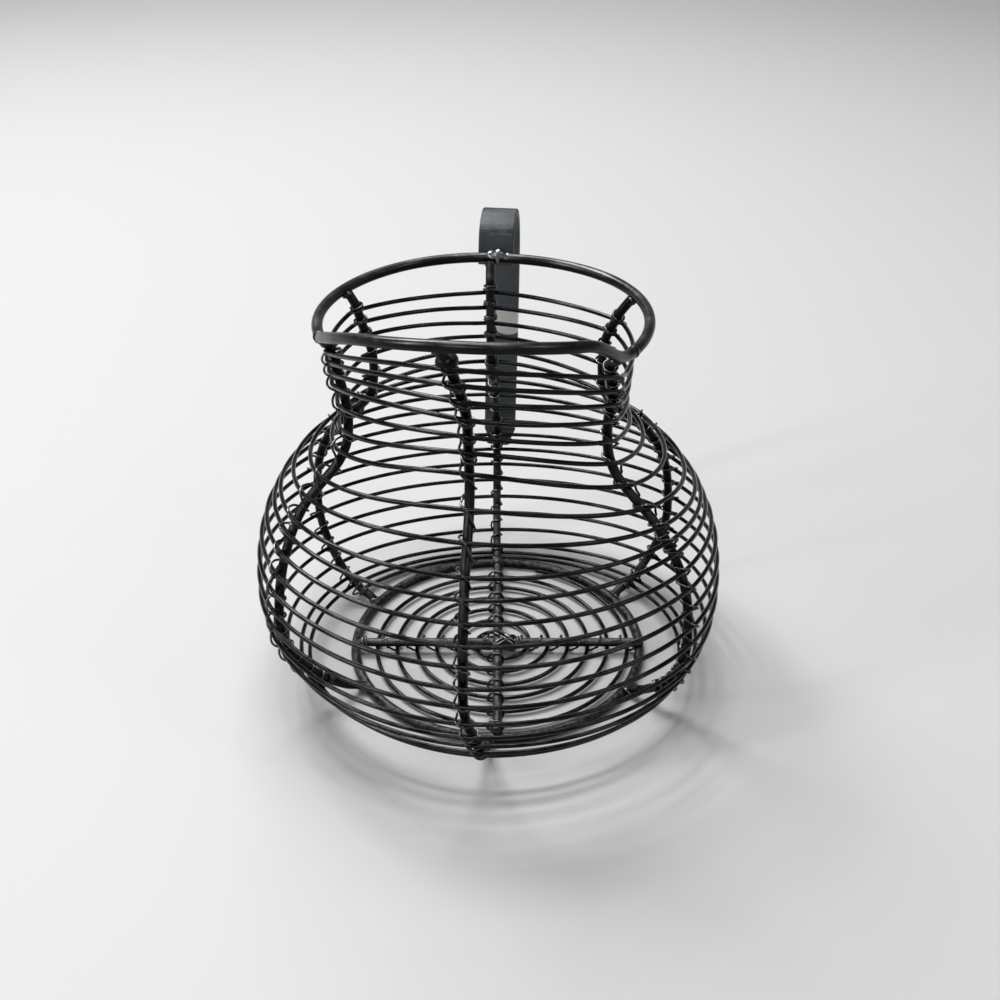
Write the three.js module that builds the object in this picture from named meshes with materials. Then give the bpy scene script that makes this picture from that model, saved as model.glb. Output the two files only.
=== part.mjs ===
// Pitcher-shaped wire basket: six bent ribs between a rim and a base ring, one long weft wire
// wound round them, a lashing wire binding each rib to the weft, a flat spiral over a cross
// of rods in the base, a raised pouring lip and a strap handle at the back.
// Millimetres, +Z up, the lip towards -Y and the handle towards +Y.
import * as THREE from 'three';
import { mergeVertices } from 'three/addons/utils/BufferGeometryUtils.js';

// Wire sizes
const rimWire = 3.8;
const ringWire = 3.8;
const ribWire = 3.7;
const barWire = 3.2;
const weftWire = 1.8;
const lashWire = 0.9;
const clearance = 0.35;

// Body outline, measured to the middle of the weft wire, above the ring that it stands on
const baseRingRadius = 61;
const footFlare = 5;
const footRadius = baseRingRadius + footFlare;
const bellyRadius = 94.3;
const bellyHeight = 47;
const neckRadius = 56.8;
const neckHeight = 121;
const mouthRadius = 60.2;
const rimRadius = 61.3;
const rimHeight = 153.5;
const rimSteps = 54;

// How the outline runs between those sizes: shares of the step in radius and in height
const footToBelly = [[0.25, 0.095], [0.62, 0.3], [0.93, 0.65]];
const bellyToNeck = [[0.1, 0.3], [0.41, 0.57], [0.9, 0.8]];
const neckToMouth = [0.6, 0.5];

// The body was bent by hand: its middle wanders to one side on the way up
const bellyLean = -3.6;
const rimLean = -5;

// Pouring lip: the rim bends up and forward between two corners
const lipMiddle = -3;
const lipHalfAngle = 64;
const lipReach = 16;
const lipRise = 22.5;
const lipFoot = 108;

// Ribs: direction seen from above, 0 at the front and counted towards +X, how far each one
// swings round and between which heights, and the hand of its lashing
const ribs = {
  front_left: { angle: -61.5, swing: -8, from: 80, to: 125, hand: -1 },
  front: { angle: -5.3, swing: -8, from: 129, to: 156, hand: 1 },
  front_right: { angle: 55.5, swing: -6, from: 125, to: 153.5, hand: 1 },
  back_right: { angle: 120, swing: -11, from: 130, to: 153.5, hand: 1 },
  back: { angle: 178, swing: 0, from: 129, to: 153.5, hand: -1 },
  back_left: { angle: 238, swing: 4, from: 122, to: 153.5, hand: -1 },
};
const ribSteps = 33;
const ribTopBend = 4;
const ribTopInset = 2.2;
const ribFootLift = 0.8;

// Weft: one wire wound down the body, its turns close at the neck and wide on the shoulder.
// The spacings are shared out over the outline between the two drops, which they fill.
const topDrop = 7.2;
const footDrop = 8.2;
const neckTurns = 6;
const neckSpacing = 5.4;
const shoulderTurns = 3;
const shoulderSpacing = 13.1;
const bellyTurns = 10;
const bellySpacing = 8;
const footTurns = 2;
const footSpacing = 3.6;
const stepsBetweenRibs = 4;

// The turns are tipped up at the front, on the neck also towards the left
const weftTilt = 10.2;
const footTiltShare = 0.75;
const neckTiltSide = 29;
const tiltBulge = 0.39;
const settleTurns = 6;
const fadeTurns = 2;

// The shoulder's turns hang lower at both sides, and the first ones sit higher on the left
const sideSag = 12.4;
const sagTurn = 6.4;
const sagTurns = 3.9;
const leftLift = 2.4;
const leftDirection = -85;
const liftTurn = 1.9;
const liftTurns = 5.1;

// Between two ribs the weft is pulled straighter than the body's round, most of all at the neck
const neckFlatness = 0.25;
const bellyFlatness = 0.05;

// Lashings: one wire down each rib, with a wrap over each crossing of the weft
const lashedCrossings = 16;
const lashSteps = 8;
const lashSides = 4;
const lashSlopeShare = 0.27;
const lashSlopeMost = 2.1;
const lashLift = 0.3;

// Base
const floorGap = 0.1;
const spiralLift = 1;
const spiralStart = 5;
const spiralPitch = 8.5;
const spiralStepsPerTurn = 20;

// Strap handle, its foot's corners trimmed. It stands square to the rim a little to the right
// of the back, so it is turned, and it leans
const strapWidth = 14.6;
const strapThickness = 2.5;
const strapSide = -0.6;
const strapTurn = 5.1;
const strapLean = 0.8;
const strapTop = 166.7;
const strapReach = 39;
const strapFootHeight = 46;
const strapFootTrim = 5.5;
const strapFootShare = 0.6;

// How the strap runs over the top and down behind: shares of its reach and of its rise
const strapOver = [[0.01, 0.25], [0.07, 0.68], [0.25, 0.94], [0.48, 0.94], [0.75, 0.55], [0.93, -0.25]];
const strapDown = [[1, 0.78], [0.85, 0.5], [0.3, 0.18]];

// Finish
const blackenedSteel = { color: 0x2b2c2e, roughness: 0.42, metalness: 0.85 };
const rimSteel = { color: 0x35302f, roughness: 0.36, metalness: 0.85 };
const strapSteel = { color: 0x30363b, roughness: 0.38, metalness: 0.85 };

const basket = new THREE.Group();

function radians(degrees) {
  return degrees * Math.PI / 180;
}

function smooth(t) {
  const u = Math.min(Math.max(t, 0), 1);
  return u * u * (3 - 2 * u);
}

function mix(a, b, t) {
  return a + (b - a) * t;
}

function addPiece(name, geometry, finish) {
  const mesh = new THREE.Mesh(geometry, new THREE.MeshStandardMaterial(finish));
  mesh.name = name;
  basket.add(mesh);
  return mesh;
}

// A round wire of so many sides along a list of points, closed into a loop or with flat ends.
// The section is carried along without twisting.
function wireAlong(points, diameter, sides, closed = false) {
  const count = points.length;
  const radius = diameter / 2;
  const tangents = points.map((point, i) => {
    const before = points[closed ? (i + count - 1) % count : Math.max(i - 1, 0)];
    const after = points[closed ? (i + 1) % count : Math.min(i + 1, count - 1)];
    return after.clone().sub(before).normalize();
  });
  const start = Math.abs(tangents[0].z) < 0.8 ? new THREE.Vector3(0, 0, 1) : new THREE.Vector3(1, 0, 0);
  let normal = start.sub(tangents[0].clone().multiplyScalar(start.dot(tangents[0]))).normalize();
  const positions = [];
  const indices = [];
  points.forEach((point, i) => {
    normal.sub(tangents[i].clone().multiplyScalar(normal.dot(tangents[i]))).normalize();
    const side = new THREE.Vector3().crossVectors(tangents[i], normal);
    for (let j = 0; j < sides; j++) {
      const angle = 2 * Math.PI * j / sides;
      const corner = point.clone()
        .addScaledVector(normal, radius * Math.cos(angle))
        .addScaledVector(side, radius * Math.sin(angle));
      positions.push(corner.x, corner.y, corner.z);
    }
  });
  const rows = closed ? count : count - 1;
  for (let i = 0; i < rows; i++) {
    const next = (i + 1) % count;
    for (let j = 0; j < sides; j++) {
      const k = (j + 1) % sides;
      indices.push(i * sides + j, i * sides + k, next * sides + k);
      indices.push(i * sides + j, next * sides + k, next * sides + j);
    }
  }
  if (!closed) {
    const last = (count - 1) * sides;
    for (let j = 1; j < sides - 1; j++) {
      indices.push(0, j + 1, j);
      indices.push(last, last + j, last + j + 1);
    }
  }
  const geometry = new THREE.BufferGeometry();
  geometry.setAttribute('position', new THREE.Float32BufferAttribute(positions, 3));
  geometry.setIndex(indices);
  geometry.computeVertexNormals();
  return geometry;
}

// A wire's ends run straight on for one diameter
function withStraightEnds(points, diameter) {
  const first = points[0].clone().sub(points[1]).setLength(diameter).add(points[0]);
  const n = points.length;
  const last = points[n - 1].clone().sub(points[n - 2]).setLength(diameter).add(points[n - 1]);
  return [first, ...points, last];
}

// Body outline from foot to mouth as radius and height
function makeOutline() {
  const belly = bellyRadius - footRadius;
  const waist = bellyRadius - neckRadius;
  const rise = neckHeight - bellyHeight;
  const collar = rimHeight - neckHeight;
  return new THREE.SplineCurve([
    new THREE.Vector2(footRadius, weftWire / 2 + floorGap),
    ...footToBelly.map(([out, up]) => new THREE.Vector2(footRadius + out * belly, up * bellyHeight)),
    new THREE.Vector2(bellyRadius, bellyHeight),
    ...bellyToNeck.map(([back, up]) => new THREE.Vector2(bellyRadius - back * waist, bellyHeight + up * rise)),
    new THREE.Vector2(neckRadius, neckHeight),
    new THREE.Vector2(mix(neckRadius, mouthRadius, neckToMouth[0]), neckHeight + neckToMouth[1] * collar),
    new THREE.Vector2(mouthRadius, rimHeight - rimWire / 2),
  ]);
}

const outline = makeOutline();
outline.arcLengthDivisions = 400;
const outlineLength = outline.getLength();

// The outline's radius and height at a distance down from the mouth
function outlineAt(down) {
  return outline.getPointAt(1 - Math.min(Math.max(down / outlineLength, 0), 1));
}

function leanAt(height) {
  const low = bellyLean * smooth(height / bellyHeight);
  return low + (rimLean - bellyLean) * smooth((height - bellyHeight) / (rimHeight - bellyHeight));
}

// How much of the lip's bend a direction takes, from 1 at the middle to 0 at its corners
function lipShare(angle) {
  const away = ((angle - lipMiddle + 540) % 360) - 180;
  return Math.abs(away) < lipHalfAngle ? Math.cos(Math.PI / 2 * away / lipHalfAngle) : 0;
}

// A point on the body, by its direction and its distance down from the mouth
function bodySurface(angle, down) {
  const spot = outlineAt(down);
  const share = lipShare(angle) * smooth((spot.y - lipFoot) / (rimHeight - lipFoot));
  return place(angle, spot.x, spot.y).add(new THREE.Vector3(0, -lipReach * share, lipRise * share));
}

function place(angle, radius, height) {
  const turn = radians(angle);
  return new THREE.Vector3(leanAt(height) + radius * Math.sin(turn), -radius * Math.cos(turn), height);
}

// The way inwards, square to the body
function inwardAt(angle, down) {
  const up = bodySurface(angle, down - 0.5).sub(bodySurface(angle, down + 0.5));
  const round = bodySurface(angle + 0.5, down).sub(bodySurface(angle - 0.5, down));
  return new THREE.Vector3().crossVectors(up, round).normalize();
}

// A point on the body, or so deep inside it
function bodyPoint(angle, down, depth = 0) {
  return bodySurface(angle, down).addScaledVector(inwardAt(angle, down), depth);
}

// Rim: one closed round wire, bent into the lip at the front
function rimPoint(angle) {
  const share = lipShare(angle);
  return place(angle, rimRadius, rimHeight).add(new THREE.Vector3(0, -lipReach * share, lipRise * share));
}

function makeRim() {
  const points = [];
  for (let i = 0; i < rimSteps; i++) {
    points.push(rimPoint(lipMiddle - 180 + 360 * i / rimSteps));
  }
  return wireAlong(points, rimWire, 8, true);
}

// Base ring: a closed ring with a flat facet on the floor
function makeBaseRing() {
  const sides = 8;
  const radius = ringWire / 2 / Math.cos(Math.PI / sides);
  const profile = [];
  for (let i = 0; i <= sides; i++) {
    const angle = 2 * Math.PI * (i + 0.5) / sides;
    profile.push(new THREE.Vector2(
      baseRingRadius + radius * Math.cos(angle),
      ringWire / 2 + radius * Math.sin(angle)));
  }
  const lathe = new THREE.LatheGeometry(profile, 48);
  lathe.deleteAttribute('normal');
  lathe.deleteAttribute('uv');
  const ring = mergeVertices(lathe, 1e-3);
  ring.rotateX(Math.PI / 2);
  ring.computeVertexNormals();
  return ring;
}

// Ribs: from the base ring's outer side, inside the weft, to the underside of the rim
const ribDepth = weftWire / 2 + clearance + ribWire / 2;

function ribAngleAt(rib, down) {
  const height = outlineAt(down).y;
  return rib.angle + rib.swing * smooth((height - rib.from) / (rib.to - rib.from));
}

function ribPoint(rib, down) {
  return bodyPoint(ribAngleAt(rib, down), down, ribDepth);
}

function makeRib(rib) {
  const topAngle = ribAngleAt(rib, 0);
  const turn = radians(topAngle);
  const inwards = new THREE.Vector3(-Math.sin(turn), Math.cos(turn), 0);
  const top = rimPoint(topAngle).addScaledVector(inwards, ribTopInset);
  top.z -= rimWire / 2 + clearance;
  const points = [top];
  const spans = 40;
  for (let i = 0; i <= spans; i++) {
    points.push(ribPoint(rib, mix(ribTopBend, outlineLength - 1, i / spans)));
  }
  points.push(place(rib.angle, baseRingRadius + ringWire / 2 + clearance, ribWire / 2 + ribFootLift));
  const curve = new THREE.CatmullRomCurve3(points, false, 'centripetal');
  return wireAlong(curve.getSpacedPoints(ribSteps), ribWire, 8);
}

// Weft: how far down the body each turn lies
const weftTurns = neckTurns + shoulderTurns + bellyTurns + footTurns;
const wound = neckTurns * neckSpacing + shoulderTurns * shoulderSpacing
  + bellyTurns * bellySpacing + footTurns * footSpacing;
const spread = (outlineLength - topDrop - footDrop) / wound;

function weftLevel(turn) {
  const neck = Math.min(turn, neckTurns);
  const shoulder = Math.min(Math.max(turn - neckTurns, 0), shoulderTurns);
  const belly = Math.min(Math.max(turn - neckTurns - shoulderTurns, 0), bellyTurns);
  const foot = Math.max(turn - neckTurns - shoulderTurns - bellyTurns, 0);
  const level = neck * neckSpacing + shoulder * shoulderSpacing + belly * bellySpacing + foot * footSpacing;
  return topDrop + spread * level;
}

function weftDown(turn, angle) {
  const grow = Math.min((turn + 1) / (neckTurns + shoulderTurns), 1);
  const fade = mix(footTiltShare, 1, Math.min((weftTurns - turn) / fadeTurns, 1));
  const side = neckTiltSide * (1 - smooth((turn - neckTurns) / settleTurns));
  const direction = radians(angle + side);
  const bulge = tiltBulge * smooth((turn - neckTurns) / settleTurns) * Math.sin(direction) ** 2;
  const tip = weftTilt * grow * fade * (Math.cos(direction) + bulge);
  const sag = sideSag * Math.sin(radians(angle)) ** 2 * smooth(1 - Math.abs(turn - sagTurn) / sagTurns);
  const towardsLeft = Math.max(Math.cos(radians(angle - leftDirection)), 0);
  const lift = leftLift * towardsLeft * smooth(1 - Math.abs(turn - liftTurn) / liftTurns);
  return weftLevel(turn) - tip + sag - lift;
}

// Where the weft crosses a rib for the so-manieth time: its turn, direction and way down
function crossing(rib, round) {
  const start = ribs.front_left.angle + ribs.front_left.swing;
  let angle = rib.angle;
  let turn = 0;
  let down = 0;
  for (let pass = 0; pass < 4; pass++) {
    turn = round + (angle - start) / 360;
    down = weftDown(turn, angle);
    angle = ribAngleAt(rib, down);
  }
  return { turn, angle, down };
}

// The weft's points, with one on each rib that it crosses
function weftPoints() {
  const crossings = [];
  for (let round = 0; round < weftTurns; round++) {
    for (const rib of Object.values(ribs)) {
      crossings.push(crossing(rib, round));
      crossings[crossings.length - 1].angle += 360 * round;
    }
  }
  return crossings.slice(1).flatMap((end, i) => weftStretch(crossings[i], end));
}

// The weft from one rib to just before the next, part arc and part chord
function weftStretch(start, end) {
  const first = bodyPoint(start.angle, start.down);
  const last = bodyPoint(end.angle, end.down);
  const points = [];
  for (let step = 0; step < stepsBetweenRibs; step++) {
    const share = step / stepsBetweenRibs;
    const turn = mix(start.turn, end.turn, share);
    const angle = mix(start.angle, end.angle, share);
    const flatness = mix(neckFlatness, bellyFlatness, smooth(turn / (neckTurns + shoulderTurns)));
    const chord = first.clone().lerp(last, share);
    points.push(bodyPoint(angle, weftDown(turn, angle)).lerp(chord, flatness));
  }
  return points;
}

function makeWeft() {
  return wireAlong(withStraightEnds(weftPoints(), weftWire), weftWire, 6);
}

// Lashing: round the rib on the inside and slantwise over the weft on the outside
const lashInner = ribWire / 2 + clearance + lashWire / 2;
const lashOuter = ribDepth + weftWire / 2 + clearance + lashWire / 2 + lashLift;

function lashPoint(rib, down, phase) {
  const centre = ribPoint(rib, down);
  const outward = inwardAt(ribAngleAt(rib, down), down).negate();
  const along = ribPoint(rib, down + 0.5).sub(ribPoint(rib, down - 0.5)).normalize();
  const across = new THREE.Vector3().crossVectors(along, outward).normalize();
  const reach = mix(lashInner, lashOuter, smooth((Math.cos(phase) + 0.6) / 1.3));
  return centre
    .addScaledVector(outward, reach * Math.cos(phase))
    .addScaledVector(across, rib.hand * reach * Math.sin(phase));
}

function lashPoints(rib) {
  const downs = [];
  for (let round = 0; round <= lashedCrossings; round++) {
    downs.push(crossing(rib, round).down);
  }
  const points = [];
  for (let step = 0; step <= lashedCrossings * lashSteps; step++) {
    const round = Math.min(Math.round(step / lashSteps - 0.5 + 1e-6), lashedCrossings - 1);
    const phase = 2 * Math.PI * (step / lashSteps - 0.5 - round);
    const gap = phase < 0 && round > 0 ? downs[round] - downs[round - 1] : downs[round + 1] - downs[round];
    const slope = Math.min(lashSlopeShare * gap, lashSlopeMost);
    const slant = (slope - gap / 8) / Math.sin(Math.PI / 4);
    const down = downs[round] + gap * phase / (2 * Math.PI) + slant * Math.sin(phase);
    points.push(lashPoint(rib, down, phase));
  }
  return points;
}

function makeLashing(rib) {
  return wireAlong(lashPoints(rib), lashWire, lashSides);
}

// Base: a flat spiral just off the floor, under a cross of rods inside the ring
const spiralHeight = weftWire / 2 + spiralLift;
const barHeight = spiralHeight + weftWire / 2 + clearance + barWire / 2;
const barReach = baseRingRadius - ringWire / 2 - clearance;

function spiralPoints() {
  const outer = baseRingRadius - ringWire / 2 - clearance - weftWire / 2;
  const turns = (outer - spiralStart) / spiralPitch;
  const steps = Math.round(turns * spiralStepsPerTurn);
  const points = [];
  for (let i = 0; i <= steps; i++) {
    const angle = 2 * Math.PI * turns * i / steps;
    const radius = mix(spiralStart, outer - floorGap, i / steps);
    points.push(new THREE.Vector3(radius * Math.cos(angle), radius * Math.sin(angle), spiralHeight));
  }
  return points;
}

function makeSpiral() {
  return wireAlong(withStraightEnds(spiralPoints(), weftWire), weftWire, 5);
}

function makeBar(from, to) {
  return wireAlong([from, from.clone().lerp(to, 0.5), to], barWire, 8);
}

// Strap handle: a flat bar from the rim's back, over and down to the belly
const strapRimY = rimRadius + rimWire / 2 + clearance + strapThickness / 2;
const strapFootY = bellyRadius + lashOuter - ribDepth + lashWire / 2 + clearance + strapThickness / 2;
const strapSteps = 36;

function makeStrap() {
  const width = strapWidth / 2;
  const thickness = strapThickness / 2;
  const section = new THREE.Shape([
    new THREE.Vector2(-width, -thickness),
    new THREE.Vector2(width, -thickness),
    new THREE.Vector2(width, thickness),
    new THREE.Vector2(-width, thickness),
  ]);
  const rise = strapTop - rimHeight;
  const fall = rimHeight - strapFootHeight;
  const foot = strapFootY - strapRimY;
  const path = new THREE.CatmullRomCurve3([
    new THREE.Vector3(0, 0, -rimWire),
    ...strapOver.map(([back, up]) => new THREE.Vector3(0, back * strapReach, up * rise)),
    ...strapDown.map(([back, up]) => new THREE.Vector3(0, mix(foot, strapReach, back), (up - 1) * fall)),
    new THREE.Vector3(0, foot, -fall),
  ], false, 'centripetal');
  const geometry = new THREE.ExtrudeGeometry(section, { steps: strapSteps, extrudePath: path });
  geometry.deleteAttribute('normal');
  geometry.deleteAttribute('uv');
  const strap = mergeVertices(geometry, 1e-3);
  trimStrapFoot(strap, strapFootTrim - fall);
  strap.rotateY(radians(strapLean));
  strap.rotateZ(-radians(strapTurn));
  strap.translate(strapSide, strapRimY, rimHeight);
  strap.computeVertexNormals();
  return strap;
}

// Below the given height the strap narrows towards its end
function trimStrapFoot(strap, from) {
  const corners = strap.getAttribute('position');
  for (let i = 0; i < corners.count; i++) {
    const below = Math.max(from - corners.getZ(i), 0);
    const share = mix(1, strapFootShare, Math.min(below / strapFootTrim, 1));
    corners.setX(i, corners.getX(i) * share);
  }
}

// The least gap that a round wire leaves to itself, measured between points along it
function leastGap(points, diameter) {
  const fine = [];
  for (let i = 0; i < points.length - 1; i++) {
    for (let step = 0; step < 4; step++) {
      fine.push(points[i].clone().lerp(points[i + 1], step / 4));
    }
  }
  const travelled = [0];
  for (let i = 1; i < fine.length; i++) {
    travelled.push(travelled[i - 1] + fine[i].distanceTo(fine[i - 1]));
  }
  let least = Infinity;
  for (let i = 0; i < fine.length; i++) {
    for (let j = i + 1; j < fine.length; j++) {
      if (travelled[j] - travelled[i] > 5 * diameter) {
        least = Math.min(least, fine[i].distanceTo(fine[j]) - diameter);
      }
    }
  }
  return least;
}

addPiece('rim', makeRim(), rimSteel);
addPiece('base_ring', makeBaseRing(), blackenedSteel);
for (const [name, rib] of Object.entries(ribs)) {
  addPiece('rib_' + name, makeRib(rib), blackenedSteel);
  addPiece('lashing_' + name, makeLashing(rib), blackenedSteel);
  console.log('lashing', name, 'least gap to itself', leastGap(lashPoints(rib), lashWire).toFixed(2), 'mm');
}
addPiece('weft', makeWeft(), blackenedSteel);
console.log('weft least gap to itself', leastGap(weftPoints(), weftWire).toFixed(2), 'mm');
addPiece('base_spiral', makeSpiral(), blackenedSteel);
console.log('base spiral least gap to itself', leastGap(spiralPoints(), weftWire).toFixed(2), 'mm');
const barStart = barWire / 2 + clearance;
addPiece('base_bar_long', makeBar(
  new THREE.Vector3(0, -barReach, barHeight), new THREE.Vector3(0, barReach, barHeight)), blackenedSteel);
addPiece('base_bar_left', makeBar(
  new THREE.Vector3(-barReach, 0, barHeight), new THREE.Vector3(-barStart, 0, barHeight)), blackenedSteel);
addPiece('base_bar_right', makeBar(
  new THREE.Vector3(barStart, 0, barHeight), new THREE.Vector3(barReach, 0, barHeight)), blackenedSteel);
addPiece('strap_handle', makeStrap(), strapSteel);

// The origin is the middle of the footprint, on the floor
const middle = new THREE.Box3().setFromObject(basket).getCenter(new THREE.Vector3());
basket.position.set(-middle.x, -middle.y, 0);

export default basket;
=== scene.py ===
# %% [markdown]
# A pitcher-shaped wire basket, dressed over its CAD parts
#
# The basket is made of blackened steel wire: six bent ribs stand on a base ring and carry a
# heavier rim, one long wire is wound round them, and a thin wire lashes every crossing.
# The CAD parts give the sizes and places. This lesson makes each wire again with rounder
# sections, hand-bent wobble, welds and a steel finish, and keeps to the same places.

# %% Load the CAD parts
import math

import bmesh
import bpy
import numpy as np
from mathutils import Matrix, Vector


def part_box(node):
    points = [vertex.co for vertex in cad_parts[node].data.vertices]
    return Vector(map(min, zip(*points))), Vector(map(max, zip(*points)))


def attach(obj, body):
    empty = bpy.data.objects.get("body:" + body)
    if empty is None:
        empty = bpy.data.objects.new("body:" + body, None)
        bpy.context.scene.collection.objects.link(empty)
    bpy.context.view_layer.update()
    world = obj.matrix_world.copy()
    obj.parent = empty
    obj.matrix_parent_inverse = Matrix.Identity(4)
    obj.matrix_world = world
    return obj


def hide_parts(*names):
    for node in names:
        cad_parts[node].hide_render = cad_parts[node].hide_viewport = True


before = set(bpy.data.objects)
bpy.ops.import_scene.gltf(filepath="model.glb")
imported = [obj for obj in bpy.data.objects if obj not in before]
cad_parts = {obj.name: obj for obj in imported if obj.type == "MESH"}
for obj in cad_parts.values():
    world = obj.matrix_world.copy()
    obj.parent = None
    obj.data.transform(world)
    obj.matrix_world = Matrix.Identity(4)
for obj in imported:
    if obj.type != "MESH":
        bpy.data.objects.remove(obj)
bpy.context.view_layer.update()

print("CAD parts:", len(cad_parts))

# %% [markdown]
# Sizes in millimetres
#
# A maker of such a basket thinks in millimetres: the wire gauges, the girth of the belly,
# the height of the rim. Blender's unit is the metre, so every path is worked out in
# millimetres, with the middle of the base ring as its origin, and is turned into metres
# and put in its place only when its mesh is made. The base ring's box in the CAD parts says
# where that middle is.

# %% Wire sizes and the body's outline
MM = 0.001
RIM_WIRE = 4.1
RING_WIRE = 4.1
RIB_WIRE = 3.7
BAR_WIRE = 3.7
WEFT_WIRE = 1.8
LASH_WIRE = 0.95
CLEARANCE = 0.35

RING_RADIUS = 61.0
FOOT_FLARE = 5.0
FOOT_RADIUS = RING_RADIUS + FOOT_FLARE
BELLY_RADIUS = 94.3
BELLY_HEIGHT = 47.0
NECK_RADIUS = 56.8
NECK_HEIGHT = 121.0
MOUTH_RADIUS = 60.2
RIM_RADIUS = 61.3
RIM_HEIGHT = 153.5
FLOOR_GAP = 0.1

ring_low, ring_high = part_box("base_ring")
PLACE = np.array([(ring_low[0] + ring_high[0]) / 2, (ring_low[1] + ring_high[1]) / 2, 0.0])
print("middle of the base ring, in metres:", PLACE.round(4))

# %% [markdown]
# The body as a formula
#
# Ribs and weft lie on one round surface, so it is worth having as a function: give it a
# direction and a distance down from the mouth, and it gives a point. Its outline is a smooth
# path through a few named sizes, and the lip is a bulge forward and up, strongest in the
# middle of the front. A direction of 0 is the front, and directions grow towards +X.


# %% A smooth path through a few points
SAMPLES_BETWEEN = 40


def soft_step(t):
    t = np.clip(t, 0.0, 1.0)
    return t * t * (3.0 - 2.0 * t)


def mix(a, b, t):
    return a + (b - a) * t


def smooth_path(points, steps):
    """A rounded path through the points, cut into stretches of equal length."""
    points = np.asarray(points, dtype=float)
    ends = np.vstack([points[:1], points, points[-1:]])
    t = np.linspace(0.0, 1.0, SAMPLES_BETWEEN, endpoint=False)[:, None]
    pieces = []
    for before, start, end, after in zip(ends[:-3], ends[1:-2], ends[2:-1], ends[3:]):
        leave, arrive = (end - before) / 2.0, (after - start) / 2.0
        cubic = (2 * start - 2 * end + leave + arrive) * t ** 3
        square = (3 * end - 3 * start - 2 * leave - arrive) * t ** 2
        pieces.append(cubic + square + leave * t + start)
    fine = np.vstack(pieces + [points[-1:]])
    return even_path(fine, steps)


def even_path(points, steps):
    """The same path as an open line of so many equal stretches."""
    lengths = np.linalg.norm(np.diff(points, axis=0), axis=1)
    along = np.concatenate([[0.0], np.cumsum(lengths)])
    spots = np.linspace(0.0, along[-1], steps + 1)
    return np.column_stack([np.interp(spots, along, points[:, k]) for k in range(points.shape[1])])


# %% The outline from foot to mouth
OUTLINE_STEPS = 600
# Each pair: how far out or back the outline has gone, and how far up, as shares of the stretch
FOOT_TO_BELLY = [(0.25, 0.095), (0.62, 0.3), (0.93, 0.65)]
BELLY_TO_NECK = [(0.1, 0.3), (0.41, 0.57), (0.9, 0.8)]
NECK_TO_MOUTH = (0.6, 0.5)

belly = BELLY_RADIUS - FOOT_RADIUS
waist = BELLY_RADIUS - NECK_RADIUS
rise = NECK_HEIGHT - BELLY_HEIGHT
collar = RIM_HEIGHT - NECK_HEIGHT
outline_points = [(FOOT_RADIUS, WEFT_WIRE / 2 + FLOOR_GAP)]
outline_points += [(FOOT_RADIUS + out * belly, up * BELLY_HEIGHT) for out, up in FOOT_TO_BELLY]
outline_points += [(BELLY_RADIUS, BELLY_HEIGHT)]
outline_points += [(BELLY_RADIUS - back * waist, BELLY_HEIGHT + up * rise) for back, up in BELLY_TO_NECK]
outline_points += [(NECK_RADIUS, NECK_HEIGHT)]
collar_radius = mix(NECK_RADIUS, MOUTH_RADIUS, NECK_TO_MOUTH[0])
outline_points += [(collar_radius, NECK_HEIGHT + NECK_TO_MOUTH[1] * collar)]
outline_points += [(MOUTH_RADIUS, RIM_HEIGHT - RIM_WIRE / 2)]
OUTLINE = smooth_path(outline_points, OUTLINE_STEPS)[::-1]
OUTLINE_LENGTH = np.linalg.norm(np.diff(OUTLINE, axis=0), axis=1).sum()
OUTLINE_DOWN = np.linspace(0.0, OUTLINE_LENGTH, len(OUTLINE))
print("outline from mouth to foot:", round(OUTLINE_LENGTH, 1), "mm")

# %% The body's surface, its lean and its lip
BELLY_LEAN = -3.6
RIM_LEAN = -5.0
LIP_MIDDLE = -3.0
LIP_HALF_ANGLE = 64.0
LIP_REACH = 16.0
LIP_RISE = 22.5
LIP_FOOT = 108.0
NEARBY = 0.5


def lean_at(height):
    low = BELLY_LEAN * soft_step(height / BELLY_HEIGHT)
    return low + (RIM_LEAN - BELLY_LEAN) * soft_step((height - BELLY_HEIGHT) / (RIM_HEIGHT - BELLY_HEIGHT))


def lip_share(angle):
    away = (angle - LIP_MIDDLE + 180.0) % 360.0 - 180.0
    return np.where(np.abs(away) < LIP_HALF_ANGLE, np.cos(math.pi / 2 * away / LIP_HALF_ANGLE), 0.0)


def place(angle, radius, height):
    turn = np.radians(angle)
    across = lean_at(height) + radius * np.sin(turn)
    return np.stack(np.broadcast_arrays(across, -radius * np.cos(turn), height), axis=-1)


def with_lip(points, share):
    push = np.zeros_like(points)
    push[..., 1] = -LIP_REACH * share
    push[..., 2] = LIP_RISE * share
    return points + push


def body_surface(angle, down):
    radius = np.interp(down, OUTLINE_DOWN, OUTLINE[:, 0])
    height = np.interp(down, OUTLINE_DOWN, OUTLINE[:, 1])
    share = lip_share(angle) * soft_step((height - LIP_FOOT) / (RIM_HEIGHT - LIP_FOOT))
    return with_lip(place(angle, radius, height), share)


def unit(vectors):
    return vectors / np.linalg.norm(vectors, axis=-1, keepdims=True)


def to_middle(angle):
    """The level direction from a point of the body to its axis."""
    turn = math.radians(angle)
    return np.array([-math.sin(turn), math.cos(turn), 0.0])


def inward_at(angle, down):
    """The surface's direction inwards, from its slope within half a millimetre and half a degree."""
    up = body_surface(angle, down - NEARBY) - body_surface(angle, down + NEARBY)
    around = body_surface(angle + NEARBY, down) - body_surface(angle - NEARBY, down)
    return unit(np.cross(up, around))


def body_point(angle, down, depth=0.0):
    return body_surface(angle, down) + depth * inward_at(angle, down)


print("a point at the front of the belly:", body_point(0.0, 110.0).round(1))


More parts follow.
